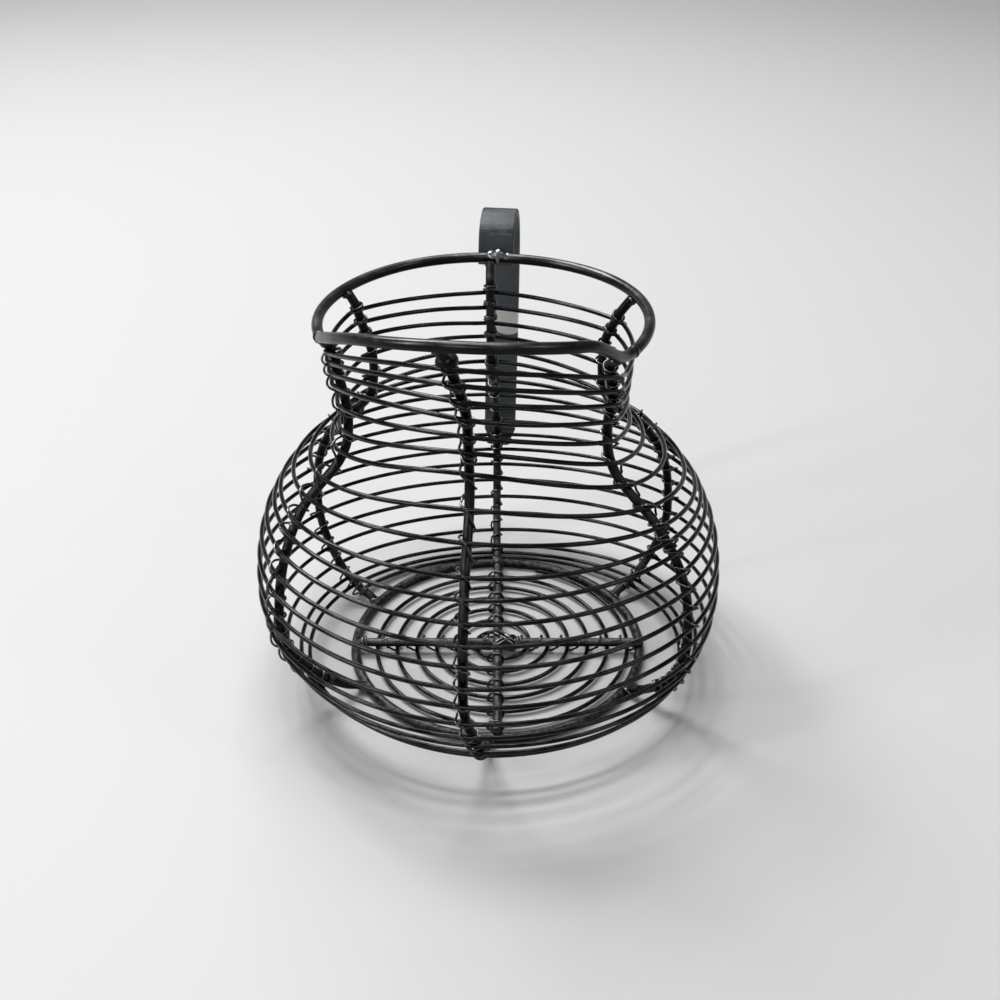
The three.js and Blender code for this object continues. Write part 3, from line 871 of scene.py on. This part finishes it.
# Each rod: its direction, how far back it lies, and where it starts and ends
bars = {
    "base_bar_long": ((0.0, 1.0), 0.0, -BAR_REACH, BAR_REACH),
    "base_bar_left": ((-1.0, 0.0), SIDE_BARS_Y, BAR_START, BAR_REACH),
    "base_bar_right": ((1.0, 0.0), SIDE_BARS_Y, BAR_START, BAR_REACH),
}
for seed, (node, (way, back, start, end)) in enumerate(bars.items()):
    spots = np.linspace(start, end, BAR_STEPS)
    path = level_line(way[0] * spots, way[1] * spots + back, BAR_HEIGHT)
    bar = wire(node + " rod", path, BAR_WIRE, BAR_STEEL, sides=14,
               thickness=1.0 + wander(spots * BAR_PACE, 40 + seed, ROD_UNEVENNESS))
    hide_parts(node)


# %% Lash the rods to the spiral
BAR_LASH_FIT = (0.9, math.radians(-90.0), -0.3)
LONG_LASH_FROM = 4.0
SIDE_LASH_FROM = 6.0
BAR_LASH_SPARE = 1.0


def spiral_crossings(quarters, least):
    """How far from the middle the spiral passes, a few quarter turns on from +X."""
    radii = [float(spiral_radius(whole + quarters / 4)) for whole in range(int(SPIRAL_TURNS) + 1)]
    return [radius for radius in radii if least < radius < BAR_REACH - BAR_LASH_SPARE]


def bar_lashing(name, bar, crossings, hand, seed):
    (across, along), back = bars[bar][:2]

    def rod_at(spots):
        return spots[:, None] * np.array([across, along, 0.0]) + np.array([0.0, back, BAR_HEIGHT])

    def outward_at(spots):
        return np.tile([0.0, 0.0, -1.0], (len(spots), 1))

    path = lash_path(rod_at, outward_at, crossings, BAR_WIRE, BAR_HEIGHT - SPIRAL_HEIGHT, hand,
                     BAR_LASH_FIT, seed)
    piece = wire(name, path, LASH_WIRE, LASH_STEEL, sides=8)


backward = spiral_crossings(1, LONG_LASH_FROM)
forward = spiral_crossings(3, LONG_LASH_FROM)
bar_lashing("lashing base long", "base_bar_long", [-r for r in forward[::-1]] + backward, 1, 51)
bar_lashing("lashing base left", "base_bar_left", spiral_crossings(2, SIDE_LASH_FROM), -1, 52)
bar_lashing("lashing base right", "base_bar_right", spiral_crossings(0, SIDE_LASH_FROM), 1, 53)
print("spiral crossings behind and in front:", len(backward), len(forward))

# %% [markdown]
# The knot in the middle
#
# Where the rods cross, the maker wound the same thin wire round both, first over one diagonal
# and then over the other, and let its end curl away. Each round is an ellipse that stands on
# its edge along a diagonal, and the rounds lie side by side with an uneven reach.

# %% Wind the knot
KNOT_ROUNDS = 2
KNOT_REACH = 5.8
KNOT_MIDDLE = np.array([3.4, SIDE_BARS_Y, BAR_HEIGHT])
KNOT_RISE = 2.45
KNOT_SPREAD = 1.9
KNOT_WOBBLE = 0.35
KNOT_TAIL = [(-5.5, 1.5, 1.5), (-6.5, 4.0, 2.4), (-4.0, 6.0, 2.2)]
KNOT_DIAGONALS = (35.0, 140.0)
# Steps in one round, of which every third guides the smooth line, and that line's steps in all
ROUND_STEPS = 30
GUIDE_EVERY = 3
KNOT_STEPS = 300


def knot_rounds(diagonal, seed):
    """Rounds of wire along one diagonal, given by its direction in degrees."""
    turned = np.linspace(0.0, KNOT_ROUNDS * 2 * math.pi, KNOT_ROUNDS * ROUND_STEPS)
    reach = KNOT_REACH + wander(turned / 2, seed, KNOT_WOBBLE)
    sideways = KNOT_SPREAD * (turned / (2 * math.pi) - KNOT_ROUNDS / 2)
    way = np.array([math.cos(math.radians(diagonal)), math.sin(math.radians(diagonal)), 0.0])
    beside = np.array([-way[1], way[0], 0.0])
    rise = np.array([0.0, 0.0, KNOT_RISE])
    flat = (reach * np.cos(turned))[:, None] * way + sideways[:, None] * beside
    return KNOT_MIDDLE + flat + np.sin(turned)[:, None] * rise


tail = KNOT_MIDDLE + KNOT_TAIL
knot_line = np.vstack([tail[::-1], knot_rounds(KNOT_DIAGONALS[0], 61), knot_rounds(KNOT_DIAGONALS[1], 62)])
knot_path = smooth_path(knot_line[::GUIDE_EVERY], KNOT_STEPS)
knot = wire("lashing base knot", knot_path, LASH_WIRE, LASH_STEEL, sides=8)
print("knot:", len(knot.data.polygons), "faces")

# %% [markdown]
# The strap handle
#
# The handle is flat bar bent over a former: it stands behind the rim, curls over, and runs
# down behind the belly. A flat section swept along that bend gives it, and Blender's curve
# takes such a section as its bevel object. The section is a rectangle with eased corners, as
# rolled flat bar has.

# %% The bend and the section
STRAP_WIDTH = 14.6
STRAP_THICKNESS = 2.5
STRAP_SIDE = -0.6
STRAP_TURN = 5.1
STRAP_LEAN = 0.8
STRAP_TOP = 166.7
STRAP_REACH = 39.0
STRAP_FOOT_HEIGHT = 46.0
STRAP_FOOT_GAP = 0.6
STRAP_EASE = 0.6
STRAP_STEPS = 120
STRAP_RIM_Y = RIM_RADIUS + RIM_WIRE / 2 + CLEARANCE + STRAP_THICKNESS / 2
LASH_OUTER = RIB_DEPTH + WEFT_WIRE / 2 + CLEARANCE + LASH_WIRE
STRAP_FOOT_Y = BELLY_RADIUS + LASH_OUTER - RIB_DEPTH + STRAP_FOOT_GAP + STRAP_THICKNESS / 2
# Each pair: how far back and up the bend has gone, as shares of its reach and its rise or fall
STRAP_OVER = [(0.01, 0.25), (0.07, 0.68), (0.25, 0.94), (0.48, 0.94), (0.75, 0.55), (0.93, -0.25)]
STRAP_DOWN = [(1.0, 0.78), (0.85, 0.5), (0.3, 0.18)]

STRAP_FALL = RIM_HEIGHT - STRAP_FOOT_HEIGHT
STRAP_FOOT_BACK = STRAP_FOOT_Y - STRAP_RIM_Y

over = [(0.0, back * STRAP_REACH, up * (STRAP_TOP - RIM_HEIGHT)) for back, up in STRAP_OVER]
down = [(0.0, mix(STRAP_FOOT_BACK, STRAP_REACH, back), (up - 1) * STRAP_FALL) for back, up in STRAP_DOWN]
strap_end = [(0.0, STRAP_FOOT_BACK, -STRAP_FALL)]
STRAP_PATH = smooth_path([(0.0, 0.0, -RIM_WIRE)] + over + down + strap_end, STRAP_STEPS)


def eased_rectangle(width, thickness, ease, steps=4):
    """The corners of a rectangle with rounded corners, anticlockwise."""
    corners = []
    quarters = ((1, 1, 0.0), (-1, 1, 90.0), (-1, -1, 180.0), (1, -1, 270.0))
    for side_x, side_y, start in quarters:
        for step in range(steps + 1):
            turn = math.radians(start + 90.0 * step / steps)
            corners.append((side_x * (width / 2 - ease) + ease * math.cos(turn),
                            side_y * (thickness / 2 - ease) + ease * math.sin(turn)))
    return corners


# %% Sweep the strap
STRAP_FOOT_TRIM = 8.0
STRAP_FOOT_SHARE = 0.55
STRAP_MAP_LENGTH = 220.0
strap_joint = Vector(np.array([STRAP_SIDE, STRAP_RIM_Y, RIM_HEIGHT]) * MM + PLACE)
strap_place = (Matrix.Translation(strap_joint) @ Matrix.Rotation(-math.radians(STRAP_TURN), 4, "Z")
               @ Matrix.Rotation(math.radians(STRAP_LEAN), 4, "Y"))


def trim_foot(mesh):
    """Narrows the strap's last stretch, as snips leave it."""
    for corner in mesh.vertices:
        below = (STRAP_FOOT_TRIM - STRAP_FALL) * MM - corner.co.z
        if below > 0:
            corner.co.x *= mix(1.0, STRAP_FOOT_SHARE, min(below / (STRAP_FOOT_TRIM * MM), 1.0))


# A painted highlight on the rear leg: a near-white patch right of its middle, down from the rim,
# and forward of its inner face. Then the patch's half sizes, its colour and how soon it fades in from its
# edge
HIGHLIGHT_SIDE = 2.5
HIGHLIGHT_DOWN = 45.0
HIGHLIGHT_FORWARD = 0.6
HIGHLIGHT_HALF = (8.5, 1.1, 7.5)
PAINTED_HIGHLIGHT = (0.93, 0.92, 0.88)
HIGHLIGHT_EDGE = 0.12


def painted_highlight_patch(material, middle):
    """Mixes a painted highlight, a near-white patch, into a steel within an egg-shaped region round the
    middle given.
    """
    tree = material.node_tree
    shader = tree.nodes["Principled BSDF"]
    where = add_node(tree, "ShaderNodeTexCoord")
    centred = add_node(tree, "ShaderNodeMapping", vector_type="TEXTURE")
    centred.inputs["Location"].default_value = middle
    centred.inputs["Rotation"].default_value = strap_place.to_euler()
    centred.inputs["Scale"].default_value = [half * MM for half in HIGHLIGHT_HALF]
    join(tree, where.outputs["Object"], centred.inputs["Vector"])
    egg = add_node(tree, "ShaderNodeTexGradient", gradient_type="SPHERICAL")
    join(tree, centred.outputs["Vector"], egg.inputs["Vector"])
    finish = shader.inputs["Base Color"].links[0].from_socket
    # Painted highlight: the near-white patch laid over the strap's colour
    bare = colour_mix(tree, ramp(tree, egg.outputs["Fac"], 0.0, HIGHLIGHT_EDGE), finish, PAINTED_HIGHLIGHT)
    join(tree, bare, shader.inputs["Base Color"])


section = eased_rectangle(STRAP_WIDTH * MM, STRAP_THICKNESS * MM, STRAP_EASE * MM)
section_holder = curve_of("strap section", [(x, y, 0.0) for x, y in section], closed=True)
strap_holder = curve_of("strap bend", STRAP_PATH * MM, closed=False)
strap_holder.data.bevel_mode = "OBJECT"
strap_holder.data.bevel_object = section_holder
strap_holder.data.twist_mode = "MINIMUM"
strap_mesh = swept_mesh(strap_holder)

# The swept faces point inwards, so they are turned round
strap_mesh.flip_normals()
for holder in (strap_holder, section_holder):
    bpy.data.curves.remove(holder.data)
stretch_uv(strap_mesh, 2 * (STRAP_WIDTH + STRAP_THICKNESS) / math.pi, STRAP_MAP_LENGTH)
print("strap:", len(strap_mesh.polygons), "faces")
trim_foot(strap_mesh)
strap_mesh.transform(strap_place)
strap = new_piece("strap bar", strap_mesh, STRAP_STEEL)
highlight_middle = Vector((HIGHLIGHT_SIDE, STRAP_REACH - STRAP_THICKNESS / 2 - HIGHLIGHT_FORWARD, -HIGHLIGHT_DOWN)) * MM
painted_highlight_patch(STRAP_STEEL, strap_place @ highlight_middle)
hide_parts("strap_handle")

# %% [markdown]
# Welds
#
# Where rods meet, the maker left a small bright bead of weld: under the rim on each rib, at
# the lip's corners, at the strap and round the base ring. A bead is a ball of metal that ran a
# little, so an icosphere is stretched, then pushed in and out by soft waves so that
# no two are alike.

# %% Make a bead
LUMPS = 0.22
FEW_LUMPS = 0.12
MANY_LUMPS = 0.3
LUMP_WAVES = 5
LUMP_PACE = 2.4


def weld_bead(name, where, size, seed, lumps=LUMPS, material=WELD_STEEL):
    """A bead at a place in millimetres, with its size along X, Y and Z."""
    rng = np.random.default_rng(seed)
    waves = [Vector(wave) for wave in rng.normal(size=(LUMP_WAVES, 3))]
    starts = rng.uniform(0.0, 2 * math.pi, LUMP_WAVES)
    bead = bmesh.new()
    bmesh.ops.create_icosphere(bead, subdivisions=3, radius=1.0)
    for corner in bead.verts:
        swell = sum(math.sin(LUMP_PACE * corner.co.dot(wave) + start)
                    for wave, start in zip(waves, starts))
        corner.co *= 1.0 + lumps * swell / 3
        corner.co = Vector([part * scale / 2 * MM for part, scale in zip(corner.co, size)])
        corner.co += Vector(np.asarray(where) * MM + PLACE)
    for face in bead.faces:
        face.smooth = True
    mesh = bpy.data.meshes.new(name)
    bead.to_mesh(mesh)
    bead.free()
    piece = new_piece(name, mesh, material)


# %% Beads at the ribs' ends and the lip's corners
RIB_TOP_BEAD = (4.6, 4.4, 3.4)
RIB_TOP_BEAD_INSET = 1.2
RIB_FOOT_BEAD = (5.0, 5.0, 3.0)
RIB_FOOT_BEAD_OUT = 0.3
RIB_FOOT_BEAD_LIFT = 0.9
LIP_BEAD = (5.2, 4.8, 4.6)

for seed, (side, rib) in enumerate(RIBS.items()):
    top_angle = rib_angle_at(rib, 0.0)
    under_rim = rim_point(top_angle) + RIB_TOP_BEAD_INSET * to_middle(top_angle)
    under_rim[2] -= RIM_WIRE / 2
    weld_bead("weld top " + side, under_rim, RIB_TOP_BEAD, 60 + seed)
    foot = place(rib["angle"] + rib["foot"], RING_RADIUS + RING_WIRE / 2 + RIB_FOOT_BEAD_OUT,
                 RIB_WIRE / 2 + RIB_FOOT_BEAD_LIFT)
    weld_bead("weld foot " + side, foot, RIB_FOOT_BEAD, 70 + seed)

for seed, angle in enumerate((LIP_BAR[0][0], LIP_BAR[-1][0])):
    weld_bead(f"weld lip corner {seed + 1}", rim_point(angle), LIP_BEAD, 80 + seed, FEW_LUMPS, RIM_STEEL)

# %% Beads where the strap joins the rim, and the front rib's end
# Each row: how far right and up it lies, and its width and height
STRAP_WELDS = ((1.4, 0.3, 7.6, 5.2), (-1.8, 1.6, 3.6, 3.4), (1.0, 2.2, 3.0, 4.2), (5.4, 0.4, 4.6, 3.2))
STRAP_WELD_DEPTH = 5.4
STRAP_WELD_INSET = 2.2
FRONT_BALL = (7.4, 6.4, 6.8)
FRONT_BALL_DOWN = 5.0

for seed, (across, up, width, height) in enumerate(STRAP_WELDS):
    spot = (STRAP_SIDE + across, RIM_RADIUS + RIM_WIRE / 2 - STRAP_WELD_INSET, RIM_HEIGHT + up)
    size = (width, STRAP_WELD_DEPTH, height)
    weld_bead(f"weld strap rim {seed + 1}", spot, size, 90 + seed, MANY_LUMPS, BRIGHT_WELD)

# The front rib's end is a ball of melted rod under the lip
ball_place = rib_point(RIBS["front"], FRONT_BALL_DOWN)
weld_bead("weld front ball", ball_place, FRONT_BALL, 98, FEW_LUMPS, RIB_STEEL)

# %% Beads at the strap's foot and at the ends of the base's rods
FOOT_WELD = (4.4, 2.6, 3.6)
FOOT_WELD_SIDES = (-4.5, 0.0, 4.5)
FOOT_WELD_INSET = 1.4
FOOT_WELD_LIFT = 2.5
BAR_BEAD = (4.6, 4.6, 3.4)
BAR_BEAD_OUT = 0.4
BAR_BEAD_DROP = 0.6

for seed, across in enumerate(FOOT_WELD_SIDES):
    on_strap = Vector((across, STRAP_FOOT_BACK - FOOT_WELD_INSET, FOOT_WELD_LIFT - STRAP_FALL)) * MM
    spot = np.array(strap_place @ on_strap) / MM - PLACE / MM
    weld_bead(f"weld strap foot {seed + 1}", spot, FOOT_WELD, 100 + seed)

for seed, (across, back) in enumerate(((0.0, 1.0), (0.0, -1.0), (-1.0, 0.0), (1.0, 0.0))):
    end = BAR_REACH + BAR_BEAD_OUT
    spot = (across * end, back * end + SIDE_BARS_Y * abs(across), BAR_HEIGHT - BAR_BEAD_DROP)
    weld_bead(f"weld bar {seed + 1}", spot, BAR_BEAD, 110 + seed, LUMPS, RING_STEEL)

# %% [markdown]
# Floor and light
#
# The basket stands on a pale floor that bends up into a backdrop, so no edge shows. The key
# lamp stands behind, high on the left: it draws thin bright lines on the wires and a soft
# shadow beside each. A lamp behind the middle draws the same lines further right. A ceiling
# lamp, three weak windows at the sides and the front, and the world fill the rest.

# %% The floor
FLOOR_HALF = 2.5
BACKDROP_HEIGHT = 1.1
BEND_RADIUS = 1.0
BEND_STEPS = 24
TINY = 0.01


def make_floor():
    floor = bmesh.new()
    bmesh.ops.create_grid(floor, x_segments=1, y_segments=1, size=FLOOR_HALF)
    back = [edge for edge in floor.edges
            if all(corner.co.y > FLOOR_HALF - TINY for corner in edge.verts)]
    raised = bmesh.ops.extrude_edge_only(floor, edges=back)["geom"]
    for item in raised:
        if isinstance(item, bmesh.types.BMVert):
            item.co.z += BACKDROP_HEIGHT
    bend = [edge for edge in floor.edges
            if all(corner.co.y > FLOOR_HALF - TINY and corner.co.z < TINY for corner in edge.verts)]
    bmesh.ops.bevel(floor, geom=bend, offset=BEND_RADIUS, offset_type="OFFSET", affect="EDGES",
                    segments=BEND_STEPS, profile=0.5, material=-1)
    for face in floor.faces:
        face.smooth = True
    mesh = bpy.data.meshes.new("floor")
    floor.to_mesh(mesh)
    floor.free()
    return mesh


def floor_finish():
    material = bpy.data.materials.new("pale floor")
    material.use_nodes = True
    tree = material.node_tree
    shader = tree.nodes["Principled BSDF"]
    shader.inputs["Base Color"].default_value = (0.735, 0.735, 0.73, 1.0)
    shader.inputs["Roughness"].default_value = 0.55
    return material


floor_piece = bpy.data.objects.new("floor", make_floor())
floor_piece.data.materials.append(floor_finish())
bpy.context.collection.objects.link(floor_piece)


# %% The lamps and the world
def soft_lamp(name, spot, aim, size, power):
    light = bpy.data.lights.new(name, "AREA")
    light.shape = "RECTANGLE"
    light.size, light.size_y = size
    light.energy = power
    lamp = bpy.data.objects.new(name, light)
    lamp.location = spot
    lamp.rotation_euler = (Vector(aim) - Vector(spot)).to_track_quat("-Z", "Y").to_euler()
    bpy.context.collection.objects.link(lamp)


BELLY_MIDDLE = (0.0, 0.0, 0.08)
NECK_FOOT = (0.0, 0.0, 0.1)
soft_lamp("key", (-0.84, 0.9, 1.58), BELLY_MIDDLE, (0.6, 0.6), 19.0)
soft_lamp("back strip", (-0.15, 1.0, 1.75), NECK_FOOT, (0.8, 0.36), 12.0)
soft_lamp("ceiling", (0.0, 0.1, 2.2), NECK_FOOT, (1.0, 0.5), 9.0)
soft_lamp("left window", (-1.1, -0.5, 0.8), NECK_FOOT, (0.12, 0.6), 4.0)
soft_lamp("right window", (1.0, -0.4, 1.0), NECK_FOOT, (0.12, 0.4), 1.0)
soft_lamp("front window", (-0.3, -1.5, 1.2), NECK_FOOT, (0.5, 0.15), 2.5)

world = bpy.data.worlds.new("studio")
bpy.context.scene.world = world
world.use_nodes = True
sky = world.node_tree.nodes["Background"]
sky.inputs["Color"].default_value = (0.93, 0.95, 1.0, 1.0)
sky.inputs["Strength"].default_value = 0.11
print("lamps:", len(bpy.data.lights))

# %% [markdown]
# The camera
#
# The picture looks down on the basket from a little above its rim, close by, so the belly
# spreads and the far side rises. Place, tilt and lens come from how the ring and the rim look
# in it.

# %% The camera
CAMERA_SPOT = np.array([1.06, -432.98, 336.54])
CAMERA_TILT = 31.24
# The focal length as a share of the picture's width
FOCAL_SHARE = 1.2557
SENSOR_WIDTH = 36.0

camera_data = bpy.data.cameras.new("camera")
camera_data.sensor_width = SENSOR_WIDTH
camera_data.lens = SENSOR_WIDTH * FOCAL_SHARE
camera = bpy.data.objects.new("camera", camera_data)
camera.location = CAMERA_SPOT * MM + PLACE
camera.rotation_euler = (math.radians(90.0 - CAMERA_TILT), 0.0, 0.0)
bpy.context.collection.objects.link(camera)
bpy.context.scene.camera = camera
bpy.context.scene.view_settings.view_transform = "Standard"
print("camera at", [round(part, 4) for part in camera.location])
